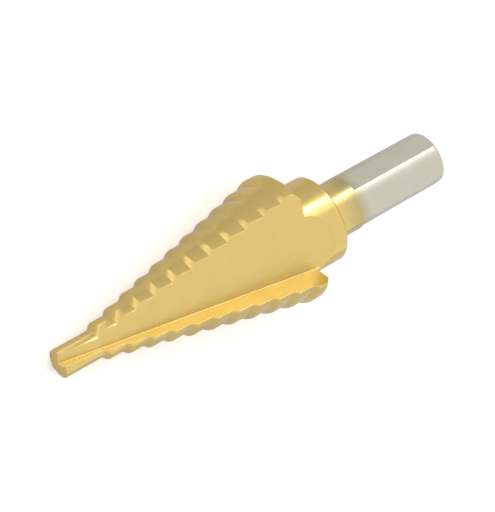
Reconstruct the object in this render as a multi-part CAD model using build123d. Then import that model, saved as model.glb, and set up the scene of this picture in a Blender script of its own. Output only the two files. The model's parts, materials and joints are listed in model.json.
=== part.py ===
"""Step drill: one solid turned, fluted and ground from a single bar.

Frame: millimetres, +Z up, +X along the drill from its point to its shank. The drill lies as it
comes to rest on a table, on the corners of its lower flute, with the other flute facing up. The
origin is at the middle of the bounding box's base.

The drill is made with its axis on X and the front of its pilot at x = 0, and is laid down last.
Angles round the axis are counted from the middle of the upper flute towards its cutting edge.
"""
import math
import os

from build123d import *
from build123d.topology import SkipClean

# Cutting steps: each one is a hole size
SMALLEST_DIAMETER = 4.7625  # 3/16 inch
DIAMETER_GROWTH = 1.5875  # 1/16 inch
STEP_COUNT = 12
PILOT_LENGTH = 6.85
STEP_PITCH = 3.5
LARGEST_LENGTH = 3.4
SHOULDER_ANGLE = 45.0  # slope of each cutting shoulder from the axis
POINT_ANGLE = 135.0  # full angle of the drill point
REAR_CHAMFER = 1.0  # broken rear edge of the largest step

# Collar and shank
COLLAR_DIAMETER = 15.0
COLLAR_LENGTH = 6.2
COLLAR_CHAMFER = 0.3
SHANK_DIAMETER = 9.525  # 3/8 inch
SHANK_LENGTH = 23.8
SHANK_ROUNDING = 0.8  # of its rear edge
NECK_LENGTH = 5.8  # round part of the shank in front of its flats
FLAT_COUNT = 3
FLAT_DEPTH = 0.35
FLAT_TURN = -52.0  # first flat, from the middle of the upper flute

# Flutes: each is a straight V, whose wide floor and narrow cutting wall meet in a crease
FLUTE_COUNT = 2
FLUTE_ANGLE = 102.0  # between the floor and the cutting wall
FRONT_FLOOR_HEIGHT = 1.06  # floor above the axis at the front of the pilot
REAR_FLOOR_HEIGHT = 5.63  # floor above the axis at the rear of the largest step
FRONT_CREASE_OFFSET = -0.64  # crease from the floor's foot at the front of the pilot
REAR_CREASE_OFFSET = 4.58  # crease from the floor's foot at the rear of the largest step
FLUTE_RUNOUT_RADIUS = 6.0  # concave end of the floor, in the collar

step_rise = DIAMETER_GROWTH / 2
shoulder_length = step_rise / math.tan(math.radians(SHOULDER_ANGLE))
point_height = SMALLEST_DIAMETER / 2 / math.tan(math.radians(POINT_ANGLE / 2))
largest_radius = SMALLEST_DIAMETER / 2 + (STEP_COUNT - 1) * step_rise
largest_rear = PILOT_LENGTH + (STEP_COUNT - 2) * STEP_PITCH + LARGEST_LENGTH
collar_rear = largest_rear + COLLAR_LENGTH
shank_rear = collar_rear + SHANK_LENGTH
neck_rear = collar_rear + NECK_LENGTH


def land_fronts():
    """Front corner of each cylindrical land, as (x, radius), from the pilot to the largest."""
    fronts = [(0.0, SMALLEST_DIAMETER / 2)]
    for step in range(1, STEP_COUNT):
        shoulder_front = PILOT_LENGTH + (step - 1) * STEP_PITCH
        fronts.append((shoulder_front + shoulder_length, SMALLEST_DIAMETER / 2 + step * step_rise))
    return fronts


def blank_outline():
    """Half section of point, steps, collar and neck, as points (x, radius)."""
    outline = [(-point_height, 0.0)]
    for x, radius in land_fronts():
        if x > 0:
            outline.append((x - shoulder_length, radius - step_rise))
        outline.append((x, radius))
    outline.append((largest_rear - REAR_CHAMFER, largest_radius))
    outline.append((largest_rear, largest_radius - REAR_CHAMFER))
    outline.append((largest_rear, COLLAR_DIAMETER / 2))
    outline.append((collar_rear - COLLAR_CHAMFER, COLLAR_DIAMETER / 2))
    outline.append((collar_rear, COLLAR_DIAMETER / 2 - COLLAR_CHAMFER))
    outline.append((collar_rear, SHANK_DIAMETER / 2))
    outline.append((neck_rear, SHANK_DIAMETER / 2))
    outline.append((neck_rear, 0.0))
    return outline


def turned_blank():
    """The blank as it leaves the lathe, as far as the rear of its neck."""
    half_section = make_face(Polyline(blank_outline(), close=True))
    return revolve(half_section, Axis.X)


def flute_corners(x, radius):
    """Angles of a flute's heel and cutting corners on a land, from the floor's normal."""
    along = x / largest_rear
    height = FRONT_FLOOR_HEIGHT + along * (REAR_FLOOR_HEIGHT - FRONT_FLOOR_HEIGHT)
    offset = FRONT_CREASE_OFFSET + along * (REAR_CREASE_OFFSET - FRONT_CREASE_OFFSET)
    lean = math.radians(FLUTE_ANGLE - 90)
    rise = offset * math.sin(lean) + height * math.cos(lean)
    wall = math.sqrt(rise**2 + radius**2 - offset**2 - height**2) - rise
    heel = -math.acos(height / radius)
    edge = math.asin((offset + wall * math.sin(lean)) / radius)
    return math.degrees(heel), math.degrees(edge)


def flute_turn():
    """Turn that brings the middle of a flute's mouth, on the largest land, straight up."""
    return -sum(flute_corners(*land_fronts()[-1])) / 2


def flute_cutters():
    """Cutters of the upper flute: a V-shaped prism along the crease, then the floor's run-out."""
    reach = 3 * largest_radius
    lean = math.radians(FLUTE_ANGLE - 90)
    front = Vector(0, -FRONT_CREASE_OFFSET, FRONT_FLOOR_HEIGHT)
    rear = Vector(largest_rear, -REAR_CREASE_OFFSET, REAR_FLOOR_HEIGHT)
    crease_way = (rear - front).normalized()
    start = front - crease_way * (2 * point_height)
    heel_way = Vector(0, 1, 0)
    edge_way = Vector(0, -math.sin(lean), math.cos(lean))
    section = make_face(
        Polyline(start, start + heel_way * reach, start + edge_way * reach, close=True)
    )
    groove = extrude(section, amount=(rear - start).length, dir=crease_way)

    floor_normal = crease_way.cross(heel_way).normalized()
    hub = Plane(rear + floor_normal * FLUTE_RUNOUT_RADIUS, z_dir=heel_way)
    one_way = (Align.CENTER, Align.CENTER, Align.MIN)
    runout = hub * Cylinder(FLUTE_RUNOUT_RADIUS, reach, align=one_way)
    return [cutter.rotate(Axis.X, flute_turn()) for cutter in (groove, runout)]


def flat_cutter():
    """Cutter of one drive flat, which ends squarely at the neck."""
    one_way = (Align.MIN, Align.CENTER, Align.MIN)
    flat = Box(2 * (shank_rear - neck_rear), SHANK_DIAMETER, SHANK_DIAMETER, align=one_way)
    return Pos(neck_rear, 0, SHANK_DIAMETER / 2 - FLAT_DEPTH) * flat


def drive_shank():
    """The shank behind the neck, with a rounded rear edge and its drive flats."""
    length = shank_rear - neck_rear
    one_way = (Align.CENTER, Align.CENTER, Align.MIN)
    shank = Plane((neck_rear, 0, 0), z_dir=(1, 0, 0)) * Cylinder(
        SHANK_DIAMETER / 2, length, align=one_way
    )
    rear_edge = shank.edges().filter_by(GeomType.CIRCLE).sort_by(Axis.X)[-1]
    shank = fillet(rear_edge, SHANK_ROUNDING)
    for index in range(FLAT_COUNT):
        shank -= flat_cutter().rotate(Axis.X, FLAT_TURN + index * 360 / FLAT_COUNT)
    return shank


def upright_drill():
    """The finished drill, with its axis on X and one flute facing up."""
    drill = turned_blank()
    for index in range(FLUTE_COUNT):
        for cutter in flute_cutters():
            drill -= cutter.rotate(Axis.X, index * 360 / FLUTE_COUNT)
    with SkipClean():  # the neck stays a ring of its own, apart from the strips between the flats
        drill += drive_shank()
    return drill


def lower_corners(x, radius):
    """Heel and cutting corners of the lower flute on a land, as points."""
    corners = []
    for corner in flute_corners(x, radius):
        turn = math.radians(corner + flute_turn() + 180)
        corners.append(Vector(x, -radius * math.sin(turn), radius * math.cos(turn)))
    return corners


def table_under(drill):
    """Plane of the table: it touches both corners of the largest land, and the nose or the tail."""
    land_rear = largest_rear - REAR_CHAMFER
    *smaller_lands, (land_front, _) = land_fronts()
    if drill.center(CenterOf.MASS).X < (land_front + land_rear) / 2:
        heel, edge = lower_corners(land_front, largest_radius)
        others = [point for land in smaller_lands for point in lower_corners(*land)]
    else:
        heel, edge = lower_corners(land_rear, largest_radius)
        others = [
            Vector(collar_rear - COLLAR_CHAMFER, 0, -COLLAR_DIAMETER / 2),
            Vector(shank_rear - SHANK_ROUNDING, 0, -SHANK_DIAMETER / 2),
        ]
    third = min(others, key=lambda point: (point.Z - edge.Z) / abs(point.X - edge.X))
    normal = (heel - edge).cross(third - edge)
    if normal.Z < 0:
        normal = -normal
    return Plane(edge, x_dir=Vector(1, 0, -normal.X / normal.Z), z_dir=normal)


def lay_down(drill):
    """Put the drill on its table, which is then the plane z = 0."""
    lying = table_under(drill).location.inverse() * drill
    box = lying.bounding_box()
    return Pos(-box.center().X, -box.center().Y, 0) * lying


def main():
    os.makedirs("parts", exist_ok=True)
    drill = lay_down(upright_drill())
    drill.label = "step_drill"
    export_step(drill, "parts/step_drill.step")


if __name__ == "__main__":
    main()
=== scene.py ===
"""Step drill: a gold-coated twelve-step drill, lying on a pale floor.

The drill is modelled in its own frame, in metres: its axis on X, the front of its pilot at x = 0
and the middle of its upper flute's mouth on +Z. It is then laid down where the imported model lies.
"""
import json
import math

import bpy
from mathutils import Matrix, Vector


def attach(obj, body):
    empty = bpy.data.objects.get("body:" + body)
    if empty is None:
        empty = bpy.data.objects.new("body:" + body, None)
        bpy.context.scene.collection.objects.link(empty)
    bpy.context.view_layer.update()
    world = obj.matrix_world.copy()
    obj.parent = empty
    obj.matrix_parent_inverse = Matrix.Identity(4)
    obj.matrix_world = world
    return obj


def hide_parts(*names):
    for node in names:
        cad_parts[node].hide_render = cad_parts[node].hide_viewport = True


bl_info = {
    "name": "Step drill",
    "version": (1, 0, 0),
    "blender": (4, 5, 0),
    "location": "View3D > Sidebar > Step drill",
    "description": "Models a gold-coated step drill and a plain studio around it",
    "category": "Add Mesh",
}

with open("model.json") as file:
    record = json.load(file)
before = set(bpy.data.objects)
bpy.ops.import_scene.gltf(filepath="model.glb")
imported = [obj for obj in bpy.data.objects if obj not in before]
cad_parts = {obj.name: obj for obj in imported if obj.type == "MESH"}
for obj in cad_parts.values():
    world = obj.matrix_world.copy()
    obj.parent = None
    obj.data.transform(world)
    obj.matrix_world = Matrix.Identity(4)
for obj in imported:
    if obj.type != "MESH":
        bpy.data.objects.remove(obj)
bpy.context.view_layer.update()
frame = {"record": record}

MM = 0.001
NODE = "step_drill"

# The shank's own pin mount says where the drill's axis lies and which way it runs: from the point
# to the shank, rising by the tilt
shank_mount = next(m for m in frame["record"]["mounts"] if m["name"] == "chuck_shank")
axis_way = Vector(shank_mount["axis"]).normalized()
axis_tilt = math.asin(axis_way.z)

# Cutting steps, in metres as all lengths are
STEP_COUNT = 12
DIAMETER_GROWTH = 1.5875 * MM
PILOT_LENGTH = 6.85 * MM
STEP_PITCH = 3.5 * MM
LARGEST_LENGTH = 3.4 * MM
POINT_ANGLE = math.radians(135)
REAR_CHAMFER = 1.0 * MM
LAND_EDGE = 0.12 * MM  # worn corner of each land

# Collar and shank
COLLAR_LENGTH = 6.2 * MM
COLLAR_CHAMFER = 0.3 * MM
NECK_LENGTH = 5.8 * MM
SHANK_ROUNDING = 0.8 * MM
ROUNDING_TURNS = range(0, 91, 15)  # degrees at which the rounded rear edge has a ring
FLAT_COUNT = 3
FLAT_DEPTH = 0.35 * MM
FLAT_TURN = math.radians(-52)  # of the first flat, from the middle of the flute's mouth

# Flutes: how high the wide floor lies above the axis, and how far its crease lies to the side, at
# the front of the pilot and at the rear of the largest step
FLUTE_COUNT = 2
FLUTE_ANGLE = math.radians(102)  # between the wide floor and the narrow cutting wall
WALL_LEAN = FLUTE_ANGLE - math.pi / 2
FRONT_FLOOR_HEIGHT = 1.06 * MM
REAR_FLOOR_HEIGHT = 5.63 * MM
FRONT_CREASE_OFFSET = -0.64 * MM
REAR_CREASE_OFFSET = 4.58 * MM
FLUTE_RUNOUT_RADIUS = 6.0 * MM

# How the modelling tools work
ROUND_SEGMENTS = 240
RUNOUT_SEGMENTS = 64
CUTTER_REACH = 30 * MM  # how far a cutter goes past the drill's outside
CUTTER_LEAD = 6 * MM  # how far in front of the pilot a cutter starts
SLACK = 0.1 * MM  # for picking what lies at an end or an edge
WALL_LIKENESS = 0.95  # a flute's face is its wall where its normal agrees with it to this cosine
SMOOTH_ANGLE = math.radians(30)

# Finishes. Marks are per millimetre along the drill's X, Y and Z. Real grinding marks, from a grit
# of about 0.05 mm, are too fine to show, so they are drawn about 0.25 mm apart
MARKS_AROUND = (4, 0.05, 0.05)
MARKS_ALONG = (0.1, 4, 4)
MARK_DEPTH = 0.02 * MM
TURNED_RELIEF, GROUND_RELIEF = 0.3, 0.4  # how much of the marks' depth shows
SATIN = (0.14, 0.26)  # roughness, lowest and highest
DULL = (0.24, 0.42)
BARE_DULLNESS = 0.14  # how much rougher the bare steel is than the coating
EDGE_WEAR = 0.18 * MM  # how far the shading of every edge is rounded
EDGE_WEAR_SAMPLES = 6
CLOUDS = 0.35  # cloudy patches per millimetre, so each is about 3 mm wide
CLOUD_SHADE = (0.98, 1.02)  # the coating's shade from patch to patch
COATING_FADE = (4.8, 0.9)  # millimetres in front of the coating's edge and behind it
COATING_WANDER = 0.8  # millimetres that the edge wanders
BRONZE_STOP, GREY_STOP = 0.6, 0.82  # where on the fade the two tints between gold and steel lie

# Stage
FLOOR_SIZE = 4
FLOOR_LIFT = 0.34  # light that brings the floor, as the view sees it, to full white
STUDIO_LEVEL = 0.87  # how bright the world's light is on matt things, 1 being white
LAMP_TARGET = (0, 0, 0.01)  # the middle of the drill
CARD_GREY = "E2E2E2"
CARD_GAP = 0.3 * MM  # between the floor and the cards that lie on it
CARD_BEND = 0.024  # where the card below ends and the one behind starts, along Y
CAMERA_PLACE = (-167.180 * MM, 72.239 * MM, 248.827 * MM)
CAMERA_TURN = [math.radians(angle) for angle in (2.4286, -36.8157, -27.4101)]
CAMERA_LENS = 132.98
CAMERA_SENSOR = 36


class DrillSizes(bpy.types.PropertyGroup):
    """Main sizes of the drill."""

    smallest_diameter: bpy.props.FloatProperty(
        name="Pilot diameter",
        description="Diameter of the smallest step",
        default=4.7625 * MM,
        min=1 * MM,
        unit="LENGTH",
    )
    collar_diameter: bpy.props.FloatProperty(
        name="Collar diameter",
        description="Diameter of the round collar behind the steps",
        default=15 * MM,
        min=5 * MM,
        unit="LENGTH",
    )
    shank_diameter: bpy.props.FloatProperty(
        name="Shank diameter",
        description="Diameter that the chuck grips",
        default=2 * shank_mount["dims"]["r_mm"] * MM,
        min=3 * MM,
        unit="LENGTH",
    )
    shank_length: bpy.props.FloatProperty(
        name="Shank length",
        description="Length behind the collar, neck included",
        default=23.8 * MM,
        min=10 * MM,
        unit="LENGTH",
    )
    coating_reach: bpy.props.FloatProperty(
        name="Coating reach",
        description="How far behind the collar the coating ends",
        default=6.5 * MM,
        min=0,
        unit="LENGTH",
    )


def linear(hex_colour):
    """An sRGB hex colour as linear red, green and blue."""
    values = [int(hex_colour[i : i + 2], 16) / 255 for i in (0, 2, 4)]
    return tuple(v / 12.92 if v <= 0.04045 else ((v + 0.055) / 1.055) ** 2.4 for v in values)


class DrillColours(bpy.types.PropertyGroup):
    """Colours of the drill's finishes."""

    coating: bpy.props.FloatVectorProperty(
        name="Coating",
        description="Gold of the nitride coating",
        subtype="COLOR",
        size=3,
        min=0,
        max=1,
        default=linear("E1C57B"),
    )
    # The cutting faces' paler gold is painted reflected light: it stands in for the lit flute floor
    # mirrored in the narrow wall
    cutting_face: bpy.props.FloatVectorProperty(
        name="Cutting face",
        description="Paler gold of the finely ground cutting faces",
        subtype="COLOR",
        size=3,
        min=0,
        max=1,
        default=linear("DECF9E"),
    )
    coating_edge: bpy.props.FloatVectorProperty(
        name="Coating edge",
        description="Bronze tint where the coating thins out",
        subtype="COLOR",
        size=3,
        min=0,
        max=1,
        default=linear("BFB280"),
    )
    steel: bpy.props.FloatVectorProperty(
        name="Steel",
        description="Bare ground steel of the shank",
        subtype="COLOR",
        size=3,
        min=0,
        max=1,
        default=linear("CBC8B8"),
    )
    floor: bpy.props.FloatVectorProperty(
        name="Floor",
        description="Pale floor and backdrop",
        subtype="COLOR",
        size=3,
        min=0,
        max=1,
        default=linear("FAFAFA"),
    )


# ---------------------------------------------------------------- small helpers


def deselect():
    """Nothing selected, in object mode."""
    if bpy.context.object and bpy.context.object.mode != "OBJECT":
        bpy.ops.object.mode_set(mode="OBJECT")
    bpy.ops.object.select_all(action="DESELECT")


def only(piece):
    """Only this piece selected and active."""
    deselect()
    piece.select_set(True)
    bpy.context.view_layer.objects.active = piece


def pick(piece, test, kind="VERT"):
    """Select the vertices or edges whose middle passes a test, and stay in edit mode."""
    bpy.ops.object.mode_set(mode="EDIT")
    bpy.ops.mesh.select_mode(type=kind)
    bpy.ops.mesh.select_all(action="DESELECT")
    bpy.ops.object.mode_set(mode="OBJECT")
    mesh = piece.data
    count = 0
    for part in mesh.edges if kind == "EDGE" else mesh.vertices:
        if kind == "EDGE":
            middle = sum((mesh.vertices[i].co for i in part.vertices), Vector()) / 2
        else:
            middle = part.co
        part.select = bool(test(middle))
        count += part.select
    if not count:
        raise RuntimeError(f"nothing to select on {piece.name}")
    bpy.ops.object.mode_set(mode="EDIT")


def apply_all(piece):
    """Apply a piece's place, turn and size to its mesh."""
    only(piece)
    bpy.ops.object.transform_apply(location=True, rotation=True, scale=True)


def apply_modifiers(piece):
    """Apply all of a piece's modifiers, in their order."""
    only(piece)
    for modifier in list(piece.modifiers):
        bpy.ops.object.modifier_apply(modifier=modifier.name)


def cut(piece, cutter):
    """Cut a piece with a cutter, whose own finish stays on the faces that it leaves."""
    boolean = piece.modifiers.new("cut", "BOOLEAN")
    boolean.operation = "DIFFERENCE"
    boolean.solver = "EXACT"
    boolean.material_mode = "TRANSFER"
    boolean.object = cutter
    apply_modifiers(piece)
    bpy.data.objects.remove(cutter)


# ---------------------------------------------------------------- the drill's form


def lengths(sizes):
    """Where the drill's parts end along its axis."""
    largest_rear = PILOT_LENGTH + (STEP_COUNT - 2) * STEP_PITCH + LARGEST_LENGTH
    collar_rear = largest_rear + COLLAR_LENGTH
    return largest_rear, collar_rear, collar_rear + sizes.shank_length


def blank_outline(sizes):
    """Half section from behind the point to the rear of the shank, as (x, radius)."""
    rise = DIAMETER_GROWTH / 2
    radius = sizes.smallest_diameter / 2
    slope = math.sqrt(0.5) * LAND_EDGE
    # The point's slope meets the pilot at a worn corner
    outline = [(0.0, radius - 0.4 * LAND_EDGE), (LAND_EDGE, radius)]
    for step in range(1, STEP_COUNT):
        shoulder = PILOT_LENGTH + (step - 1) * STEP_PITCH
        outline.append((shoulder, radius))
        outline.append((shoulder + rise - slope, radius + rise - slope))
        radius += rise
        outline.append((shoulder + rise + LAND_EDGE, radius))
    largest_rear, collar_rear, shank_rear = lengths(sizes)
    outline.append((largest_rear - REAR_CHAMFER, radius))
    outline.append((largest_rear, radius - REAR_CHAMFER))
    collar = sizes.collar_diameter / 2
    outline.append((largest_rear, collar))
    outline.append((collar_rear - COLLAR_CHAMFER, collar))
    outline.append((collar_rear, collar - COLLAR_CHAMFER))
    shank = sizes.shank_diameter / 2
    outline.append((collar_rear, shank))
    outline.append((collar_rear + NECK_LENGTH, shank))
    for turn in ROUNDING_TURNS:
        angle = math.radians(turn)
        outline.append(
            (
                shank_rear - SHANK_ROUNDING * (1 - math.sin(angle)),
                shank - SHANK_ROUNDING * (1 - math.cos(angle)),
            )
        )
    return outline


def turned_blank(sizes):
    """The round blank: a ring drawn along the axis, with its size changed at each corner."""
    outline = blank_outline(sizes)
    x, radius = outline[0]
    deselect()
    bpy.ops.mesh.primitive_circle_add(
        vertices=ROUND_SEGMENTS,
        radius=radius,
        location=(x, 0, 0),
        rotation=(0, math.pi / 2, 0),
        fill_type="NOTHING",
    )
    blank = bpy.context.object
    blank.name = NODE + "_looks"
    apply_all(blank)
    bpy.ops.object.mode_set(mode="EDIT")
    bpy.ops.mesh.select_all(action="SELECT")
    for next_x, next_radius in outline[1:]:
        bpy.ops.mesh.extrude_region_move(TRANSFORM_OT_translate={"value": (next_x - x, 0, 0)})
        if next_radius != radius:
            ratio = next_radius / radius
            bpy.ops.transform.resize(value=(1, ratio, ratio), center_override=(next_x, 0, 0))
        x, radius = next_x, next_radius
    bpy.ops.mesh.edge_face_add()

    pick(blank, lambda middle: middle.x < outline[0][0] + LAND_EDGE / 2)
    point_height = outline[0][1] / math.tan(POINT_ANGLE / 2)
    bpy.ops.mesh.extrude_region_move(TRANSFORM_OT_translate={"value": (-point_height, 0, 0)})
    bpy.ops.mesh.merge(type="CENTER")
    bpy.ops.mesh.select_all(action="SELECT")
    bpy.ops.mesh.normals_make_consistent(inside=False)
    bpy.ops.object.mode_set(mode="OBJECT")
    return blank


def block(low, high, name, material):
    """A box between two corners, with its place in its mesh."""
    low, high = Vector(low), Vector(high)
    deselect()
    bpy.ops.mesh.primitive_cube_add(size=1, location=(low + high) / 2, scale=high - low)
    piece = bpy.context.object
    piece.name = name
    piece.data.materials.append(material)
    apply_all(piece)
    return piece


def turn_about_drill(piece, angle):
    """Turn a piece's mesh by an angle about the drill's axis."""
    piece.matrix_world = Matrix.Rotation(angle, 4, "X")
    apply_all(piece)


def flute_corners(x, radius, largest_rear):
    """Angles of a flute's heel and cutting corners on a land, from the floor's normal."""
    along = x / largest_rear
    height = FRONT_FLOOR_HEIGHT + along * (REAR_FLOOR_HEIGHT - FRONT_FLOOR_HEIGHT)
    offset = FRONT_CREASE_OFFSET + along * (REAR_CREASE_OFFSET - FRONT_CREASE_OFFSET)
    rise = offset * math.sin(WALL_LEAN) + height * math.cos(WALL_LEAN)
    wall = math.sqrt(rise**2 + radius**2 - offset**2 - height**2) - rise
    return -math.acos(height / radius), math.asin((offset + wall * math.sin(WALL_LEAN)) / radius)


def flute_cutter(sizes, material, index):
    """The grinding wheel's path through one flute: a leaning V with a round end."""
    largest_rear, _, _ = lengths(sizes)
    climb = (REAR_FLOOR_HEIGHT - FRONT_FLOOR_HEIGHT) / largest_rear
    drift = (FRONT_CREASE_OFFSET - REAR_CREASE_OFFSET) / largest_rear
    # The round end meets the floor this far in front of the corner that it replaces
    tangent = FLUTE_RUNOUT_RADIUS / math.tan((math.pi / 2 + math.atan(climb)) / 2)
    far = largest_rear + tangent * math.cos(math.atan(climb))
    length = far + CUTTER_LEAD
    start = Vector(
        (
            -CUTTER_LEAD,
            -FRONT_CREASE_OFFSET - CUTTER_LEAD * drift,
            FRONT_FLOOR_HEIGHT - CUTTER_LEAD * climb,
        )
    )
    top = start.z + CUTTER_REACH
    cutter = block(start, (far, start.y + CUTTER_REACH, top), f"flute_cutter_{index}", material)

    # The wall leans outwards, and then the whole V climbs and drifts towards its far end
    pick(cutter, lambda middle: middle.y < start.y + SLACK and middle.z > top - SLACK)
    bpy.ops.transform.translate(value=(0, -CUTTER_REACH * math.tan(WALL_LEAN), 0))
    pick(cutter, lambda middle: middle.x > far - SLACK)
    bpy.ops.transform.translate(value=(0, drift * length, climb * length))

    # The round end comes last, so that every face that it touches is still flat
    end_height = start.z + climb * length
    pick(
        cutter,
        lambda middle: middle.x > far - SLACK and middle.z < end_height + SLACK,
        "EDGE",
    )
    bpy.ops.mesh.bevel(offset=tangent, segments=RUNOUT_SEGMENTS, affect="EDGES")
    bpy.ops.object.mode_set(mode="OBJECT")
    turn_about_drill(cutter, flute_turn(sizes, index))
    return cutter


def flat_cutter(sizes, material, index):
    """The cutter's path over one drive flat, which ends squarely at the neck."""
    _, collar_rear, shank_rear = lengths(sizes)
    half = sizes.shank_diameter / 2
    cutter = block(
        (collar_rear + NECK_LENGTH, -half, half - FLAT_DEPTH),
        (shank_rear + half, half, 2 * half),
        f"flat_cutter_{index}",
        material,
    )
    turn_about_drill(cutter, FLAT_TURN + index * 2 * math.pi / FLAT_COUNT)
    return cutter


def flute_turn(sizes, index):
    """Turn of a flute, with the middle of the first one's mouth on the largest land straight up."""
    largest_rear, _, _ = lengths(sizes)
    land_front = PILOT_LENGTH + (STEP_COUNT - 2) * STEP_PITCH + DIAMETER_GROWTH / 2
    radius = (sizes.smallest_diameter + (STEP_COUNT - 1) * DIAMETER_GROWTH) / 2
    mouth_turn = -sum(flute_corners(land_front, radius, largest_rear)) / 2
    return mouth_turn + index * 2 * math.pi / FLUTE_COUNT


def finish_cutting_faces(drill, sizes, flute_finish, cutting_finish):
    """Give the narrow wall of each flute its finer finish and its paler gold, a painted reflection
    of the lit floor beside it.
    """
    drill.data.materials.append(cutting_finish)
    slots = list(drill.data.materials)
    flute_slot, cutting_slot = slots.index(flute_finish), slots.index(cutting_finish)
    wall_normal = Vector((0, math.cos(WALL_LEAN), math.sin(WALL_LEAN)))
    for index in range(FLUTE_COUNT):
        outward = Matrix.Rotation(flute_turn(sizes, index), 3, "X") @ wall_normal
        for face in drill.data.polygons:
            on_flute = face.material_index == flute_slot
            if on_flute and face.normal.dot(outward) > WALL_LIKENESS:
                face.material_index = cutting_slot


# ---------------------------------------------------------------- finishes


def add_node(tree, kind, inputs=None, **settings):
    """Add a node, set it, and link or set its inputs."""
    node = tree.nodes.new(kind)
    for name, value in settings.items():
        setattr(node, name, value)
    for socket, value in (inputs or {}).items():
        if isinstance(value, bpy.types.NodeSocket):
            tree.links.new(value, node.inputs[socket])
        else:
            node.inputs[socket].default_value = value
    return node


def rgba(colour):
    """A colour with full alpha."""
    return (*colour, 1.0)


def drill_origin(sizes):
    """Where the middle of the pilot's front lies once the drill is laid down."""
    _, collar_rear, shank_rear = lengths(sizes)
    mount_middle = (collar_rear + shank_rear - SHANK_ROUNDING) / 2
    return Vector(shank_mount["pos_m"]) - axis_way * mount_middle


def drill_finish(name, sizes, colours, marks, roughness, relief, coating=None):
    """Ground steel with a gold nitride coating, bare behind the coating's edge."""
    material = bpy.data.materials.new(name)
    material.use_nodes = True
    tree = material.node_tree
    shader = tree.nodes["Principled BSDF"]
    shader.inputs["Metallic"].default_value = 1.0

    # All patterns are in millimetres and in the drill's own frame
    coords = add_node(tree, "ShaderNodeTexCoord")
    in_drill = add_node(
        tree,
        "ShaderNodeMapping",
        {
            "Vector": coords.outputs["Object"],
            "Location": drill_origin(sizes),
            "Rotation": (0, -axis_tilt, 0),
            "Scale": (MM, MM, MM),
        },
        vector_type="TEXTURE",
    ).outputs["Vector"]
    along = add_node(tree, "ShaderNodeSeparateXYZ", {"Vector": in_drill}).outputs["X"]
    stretched = add_node(
        tree, "ShaderNodeMapping", {"Vector": in_drill, "Scale": marks}
    ).outputs["Vector"]
    grind = add_node(
        tree,
        "ShaderNodeTexNoise",
        {"Vector": stretched, "Scale": 1.0, "Detail": 3.0, "Roughness": 0.6},
    ).outputs["Fac"]
    cloud = add_node(
        tree, "ShaderNodeTexNoise", {"Vector": in_drill, "Scale": CLOUDS, "Detail": 4.0}
    ).outputs["Fac"]

    # The coating thins out over some millimetres, through bronze and grey, along an uneven edge
    _, collar_rear, _ = lengths(sizes)
    edge = (collar_rear + sizes.coating_reach) / MM + COATING_WANDER / 2
    wander = add_node(
        tree,
        "ShaderNodeMath",
        {0: cloud, 1: COATING_WANDER, 2: along},
        operation="MULTIPLY_ADD",
    ).outputs["Value"]
    fade = add_node(
        tree,
        "ShaderNodeMapRange",
        {
            "Value": wander,
            "From Min": edge - COATING_FADE[0],
            "From Max": edge + COATING_FADE[1],
        },
    ).outputs["Result"]
    tint = add_node(tree, "ShaderNodeValToRGB", {"Fac": fade})
    ramp = tint.color_ramp
    # On the cutting faces this is their paler gold, which paints the light that they reflect from
    # the flute floor
    ramp.elements[0].color = rgba(coating or colours.coating)
    ramp.elements[1].color = rgba(colours.steel)
    ramp.elements.new(BRONZE_STOP).color = rgba(colours.coating_edge)
    grey = [(a + b) / 2 for a, b in zip(colours.coating_edge, colours.steel)]
    ramp.elements.new(GREY_STOP).color = rgba(grey)
    shade = add_node(
        tree,
        "ShaderNodeMapRange",
        {
            "Value": cloud,
            "From Min": 0.3,
            "From Max": 0.7,
            "To Min": CLOUD_SHADE[0],
            "To Max": CLOUD_SHADE[1],
        },
    ).outputs["Result"]
    colour = add_node(
        tree,
        "ShaderNodeVectorMath",
        {0: tint.outputs["Color"], "Scale": shade},
        operation="SCALE",
    ).outputs["Vector"]
    tree.links.new(colour, shader.inputs["Base Color"])

    # The marks' floors and crests differ in gloss, and the bare steel is duller than the coating
    rough = add_node(
        tree,
        "ShaderNodeMapRange",
        {
            "Value": grind,
            "From Min": 0.25,
            "From Max": 0.75,
            "To Min": roughness[0],
            "To Max": roughness[1],
        },
    ).outputs["Result"]
    dulled = add_node(
        tree, "ShaderNodeMath", {0: fade, 1: BARE_DULLNESS, 2: rough}, operation="MULTIPLY_ADD"
    ).outputs["Value"]
    tree.links.new(dulled, shader.inputs["Roughness"])

    # Edges catch the light as worn ones do
    worn = add_node(
        tree, "ShaderNodeBevel", {"Radius": EDGE_WEAR}, samples=EDGE_WEAR_SAMPLES
    ).outputs["Normal"]
    bump = add_node(
        tree,
        "ShaderNodeBump",
        {"Height": grind, "Strength": relief, "Distance": MARK_DEPTH, "Normal": worn},
    ).outputs["Normal"]
    tree.links.new(bump, shader.inputs["Normal"])
    return material


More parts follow.
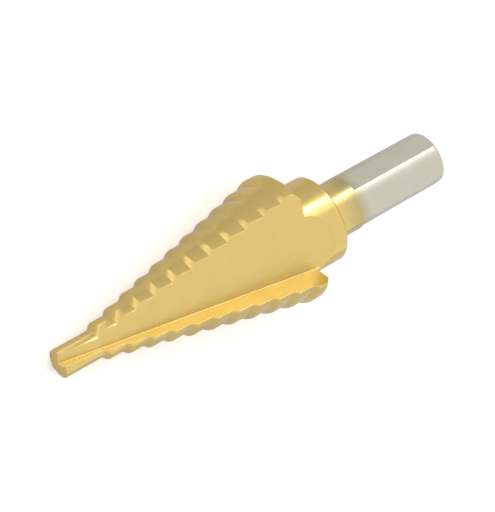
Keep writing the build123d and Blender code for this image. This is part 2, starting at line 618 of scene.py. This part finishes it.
class STEPDRILL_OT_add_drill(bpy.types.Operator):
    """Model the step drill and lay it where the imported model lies"""

    bl_idname = "step_drill.add_drill"
    bl_label = "Add step drill"

    def execute(self, context):
        sizes = context.scene.step_drill_sizes
        colours = context.scene.step_drill_colours
        # Turned high-speed steel, nitrided: satin gold with faint rings, bright in one line
        turned = drill_finish(
            "nitride_coated_turned_steel", sizes, colours, MARKS_AROUND, SATIN, TURNED_RELIEF
        )
        # Flutes ground lengthwise with a coarser wheel: an even, softer gold, streaked lengthwise
        fluted = drill_finish(
            "nitride_coated_ground_flute", sizes, colours, MARKS_ALONG, DULL, GROUND_RELIEF
        )
        # Flats ground through to bare steel: a dull pale grey, streaked lengthwise
        flats = drill_finish(
            "ground_steel_flat", sizes, colours, MARKS_ALONG, DULL, GROUND_RELIEF
        )
        # Cutting walls, ground the finest of all and so satin, in a paler gold that is a painted
        # reflection of the lit flute floor beside them
        cutting = drill_finish(
            "nitride_coated_cutting_face",
            sizes,
            colours,
            MARKS_ALONG,
            SATIN,
            GROUND_RELIEF,
            coating=colours.cutting_face,
        )
        drill = turned_blank(sizes)
        drill.data.materials.append(turned)
        for index in range(FLUTE_COUNT):
            cut(drill, flute_cutter(sizes, fluted, index))
        for index in range(FLAT_COUNT):
            cut(drill, flat_cutter(sizes, flats, index))
        finish_cutting_faces(drill, sizes, fluted, cutting)
        lie_down = Matrix.Rotation(-axis_tilt, 4, "Y")
        drill.matrix_world = Matrix.Translation(drill_origin(sizes)) @ lie_down
        apply_all(drill)
        bpy.ops.object.shade_smooth_by_angle(angle=SMOOTH_ANGLE)
        normals = drill.modifiers.new("normals", "WEIGHTED_NORMAL")
        normals.keep_sharp = True
        apply_modifiers(drill)
        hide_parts(NODE)
        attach(drill, "root")
        return {"FINISHED"}


# ---------------------------------------------------------------- stage


def seen_directly(tree):
    """1 for what the view, a reflection or glass shows, and 0 for light that falls on things."""
    rays = add_node(tree, "ShaderNodeLightPath")
    seen = rays.outputs["Is Camera Ray"]
    for kind in ("Is Glossy Ray", "Is Transmission Ray"):
        seen = add_node(
            tree, "ShaderNodeMath", {0: seen, 1: rays.outputs[kind]}, operation="MAXIMUM"
        ).outputs["Value"]
    return seen


def matt_paint(name, colour, lift=0.0):
    """Matt wall paint, rolled on: an even tone without any gloss.

    lift is light that only the view and reflections see, which leaves shadows on it as they are.
    """
    material = bpy.data.materials.new(name)
    material.use_nodes = True
    tree = material.node_tree
    shader = tree.nodes["Principled BSDF"]
    shader.inputs["Base Color"].default_value = rgba(colour)
    shader.inputs["Roughness"].default_value = 0.9
    if lift:
        strength = add_node(
            tree, "ShaderNodeMath", {0: seen_directly(tree), 1: lift}, operation="MULTIPLY"
        ).outputs["Value"]
        shader.inputs["Emission Color"].default_value = (1, 1, 1, 1)
        tree.links.new(strength, shader.inputs["Emission Strength"])
    return material


def soft_box(name, place, size, brightness):
    """A soft box that faces the drill; its brightness is how its face looks, 1 being white."""
    lamp = bpy.data.lights.new(name, "AREA")
    lamp.shape = "RECTANGLE"
    lamp.size, lamp.size_y = size
    lamp.energy = math.pi * brightness * size[0] * size[1]
    holder = bpy.data.objects.new(name, lamp)
    bpy.context.scene.collection.objects.link(holder)
    facing = (Vector(place) - Vector(LAMP_TARGET)).normalized()
    sideways = (Vector((1, 0, 0)) - facing * facing.x).normalized()
    upwards = facing.cross(sideways)
    turn = Matrix((sideways, upwards, facing)).transposed()
    holder.matrix_world = Matrix.Translation(place) @ turn.to_4x4()


def grey_card(name, left, right, near, far, material):
    """A grey card beside the drill, which only reflections show.

    It runs from left to right along X, and its near and far edges are given as (y, z).
    """
    near, far = Vector(near), Vector(far)
    across = far - near
    middle = (near + far) / 2
    deselect()
    bpy.ops.mesh.primitive_plane_add(
        size=1,
        location=((left + right) / 2, *middle),
        rotation=(math.atan2(across.y, across.x), 0, 0),
    )
    card = bpy.context.object
    card.name = name
    card.scale = (right - left, across.length, 1)
    card.data.materials.append(material)
    apply_all(card)
    card.visible_camera = False
    card.visible_shadow = False
    card.visible_diffuse = False


class STEPDRILL_OT_add_stage(bpy.types.Operator):
    """Add the floor, the lamps and the camera"""

    bl_idname = "step_drill.add_stage"
    bl_label = "Add stage"

    def execute(self, context):
        scene = context.scene
        colours = scene.step_drill_colours
        deselect()
        bpy.ops.mesh.primitive_plane_add(size=FLOOR_SIZE, location=(0, 0, 0))
        floor = context.object
        floor.name = "floor"
        floor.data.materials.append(matt_paint("matt_white_paint", colours.floor, FLOOR_LIFT))

        camera_data = bpy.data.cameras.new("camera")
        camera_data.lens = CAMERA_LENS
        camera_data.sensor_width = CAMERA_SENSOR
        camera = bpy.data.objects.new("camera", camera_data)
        scene.collection.objects.link(camera)
        camera.location = CAMERA_PLACE
        camera.rotation_euler = CAMERA_TURN
        scene.camera = camera

        scene.view_settings.view_transform = "Standard"

        # White where the view or a reflection shows it, and a little below white where its light
        # falls on matt things
        world = bpy.data.worlds.new("studio")
        scene.world = world
        world.use_nodes = True
        tree = world.node_tree
        background = tree.nodes["Background"]
        background.inputs["Color"].default_value = (1, 1, 1, 1)
        strength = add_node(
            tree,
            "ShaderNodeMapRange",
            {"Value": seen_directly(tree), "To Min": STUDIO_LEVEL, "To Max": 1.0},
        ).outputs["Result"]
        tree.links.new(strength, background.inputs["Strength"])

        # A strip behind the drill draws the bright line along its collar and shank, and a weaker
        # one above it lets that line fade out upwards
        soft_box("key_strip", (0.327, 0.513, 0.52), size=(0.36, 0.165), brightness=4.14)
        soft_box("key_fringe", (0.24, 0.377, 0.663), size=(0.6, 0.2), brightness=0.575)

        # Two cards that meet at a bend take the glare off the lands that face down and back
        grey = matt_paint("matt_grey_card", linear(CARD_GREY))
        bend = (CARD_BEND, CARD_GAP)
        grey_card("card_below", -0.25, 0.25, (-0.15, CARD_GAP), bend, grey)
        grey_card("card_behind", -0.022, 0.25, bend, (0.18, 0.105), grey)
        return {"FINISHED"}


class STEPDRILL_PT_panel(bpy.types.Panel):
    """Sizes and colours of the drill, and the buttons that build it."""

    bl_idname = "STEPDRILL_PT_panel"
    bl_label = "Step drill"
    bl_space_type = "VIEW_3D"
    bl_region_type = "UI"
    bl_category = "Step drill"

    def draw(self, context):
        layout = self.layout
        for group in (context.scene.step_drill_sizes, context.scene.step_drill_colours):
            for name in group.__annotations__:
                layout.prop(group, name)
        layout.operator(STEPDRILL_OT_add_drill.bl_idname)
        layout.operator(STEPDRILL_OT_add_stage.bl_idname)


CLASSES = (
    DrillSizes,
    DrillColours,
    STEPDRILL_OT_add_drill,
    STEPDRILL_OT_add_stage,
    STEPDRILL_PT_panel,
)


def register():
    for one_class in CLASSES:
        bpy.utils.register_class(one_class)
    bpy.types.Scene.step_drill_sizes = bpy.props.PointerProperty(type=DrillSizes)
    bpy.types.Scene.step_drill_colours = bpy.props.PointerProperty(type=DrillColours)


def unregister():
    del bpy.types.Scene.step_drill_colours
    del bpy.types.Scene.step_drill_sizes
    for one_class in reversed(CLASSES):
        bpy.utils.unregister_class(one_class)


def main():
    """Build the drill and its stage."""
    register()
    bpy.ops.step_drill.add_drill()
    bpy.ops.step_drill.add_stage()


if __name__ == "__main__":
    main()
